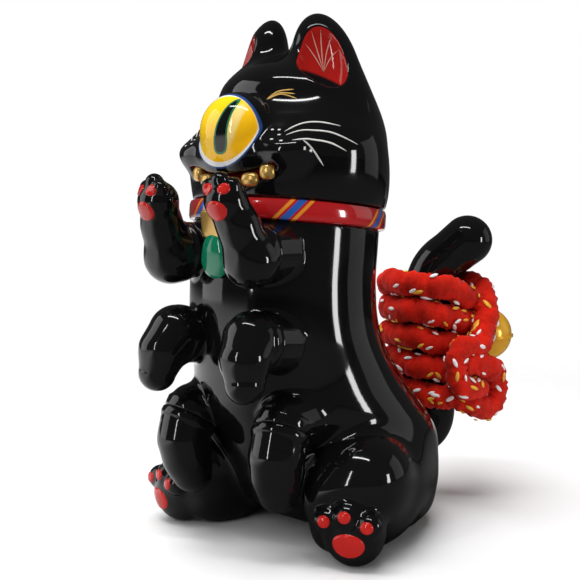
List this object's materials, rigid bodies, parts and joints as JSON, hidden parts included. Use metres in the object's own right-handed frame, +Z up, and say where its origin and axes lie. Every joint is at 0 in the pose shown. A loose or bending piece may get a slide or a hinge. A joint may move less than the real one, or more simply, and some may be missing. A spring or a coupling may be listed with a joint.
{
  "type": "beckoning cat figurine",
  "caption": "Seated one-eyed cat figurine with pairs of turning arms, a turning head, a collar, and a rope-wound tail that carries a ball bell.",
  "frame": {"origin": "centre of the flat base, on the surface that the figurine stands on", "axes": "+Z up, the cat faces -Y, +X is the cat's left"},
  "size_m": [0.1176, 0.1922, 0.1975],
  "materials": {
    "black_vinyl": "glossy sprayed black",
    "red_collar": "glossy red with painted stripes",
    "green_stone": "glossy jade green",
    "gold_paint": "gold paint",
    "bell_brass": "polished gold plate",
    "pellet_steel": "plain steel",
    "red_crepe_rope": "soft crepe flecked white and gold"
  },
  "bodies": {
    "torso": {"body_shell": "black_vinyl", "collar": "red_collar", "pendant_stone": "green_stone", "pendant_cap": "gold_paint"},
    "head": {"head_shell": "black_vinyl"},
    "tail": {"tail": "black_vinyl", "tail_rope_coil": "red_crepe_rope", "tail_rope_knot": "red_crepe_rope", "tail_rope_bow": "red_crepe_rope", "bell_tie": "red_crepe_rope"},
    "bell": {"bell_upper_shell": "bell_brass", "bell_lower_shell": "bell_brass", "bell_eyelet": "bell_brass", "bell_pellet": "pellet_steel"},
    "upper_arm_left": {"upper_arm_left": "black_vinyl"},
    "upper_arm_right": {"upper_arm_right": "black_vinyl"},
    "middle_arm_left": {"middle_arm_left": "black_vinyl"},
    "middle_arm_right": {"middle_arm_right": "black_vinyl"},
    "lower_arm_left": {"lower_arm_left": "black_vinyl"},
    "lower_arm_right": {"lower_arm_right": "black_vinyl"}
  },
  "joints": [
    {"name": "head_turn", "type": "hinge", "parent": "torso", "child": "head", "pos_m": [0, -0.0322, 0.1217], "axis": [0, 0.0906, 0.9959], "range_deg": [-90, 90]},
    {"name": "upper_arm_left_turn", "type": "hinge", "parent": "torso", "child": "upper_arm_left", "pos_m": [0.0175, -0.069, 0.1095], "axis": [0, -1, 0], "range_deg": [-45, 40]},
    {"name": "upper_arm_right_turn", "type": "hinge", "parent": "torso", "child": "upper_arm_right", "pos_m": [-0.0175, -0.069, 0.1095], "axis": [0, -1, 0], "range_deg": [-40, 45]},
    {"name": "middle_arm_left_turn", "type": "hinge", "parent": "torso", "child": "middle_arm_left", "pos_m": [0.0185, -0.069, 0.0785], "axis": [0, -0.995, 0.0995], "range_deg": [-45, 90]},
    {"name": "middle_arm_right_turn", "type": "hinge", "parent": "torso", "child": "middle_arm_right", "pos_m": [-0.0185, -0.069, 0.0785], "axis": [0, -0.995, 0.0995], "range_deg": [-90, 45]},
    {"name": "lower_arm_left_turn", "type": "hinge", "parent": "torso", "child": "lower_arm_left", "pos_m": [0.0225, -0.0625, 0.0475], "axis": [0.1, -0.5001, -0.8602], "range_deg": [-90, 90]},
    {"name": "lower_arm_right_turn", "type": "hinge", "parent": "torso", "child": "lower_arm_right", "pos_m": [-0.0225, -0.0625, 0.0475], "axis": [-0.1, -0.5001, -0.8602], "range_deg": [-90, 90]},
    {"name": "tail_turn", "type": "hinge", "parent": "torso", "child": "tail", "pos_m": [0.0032, 0.036, 0.027], "axis": [0.3987, 0.9171, 0], "range_deg": [-30, 25]},
    {"name": "bell_swing", "type": "hinge", "parent": "tail", "child": "bell", "pos_m": [0.01821, 0.08794, 0.0821], "axis": [0.9781, -0.2079, 0], "range_deg": [-2, 60]}
  ]
}
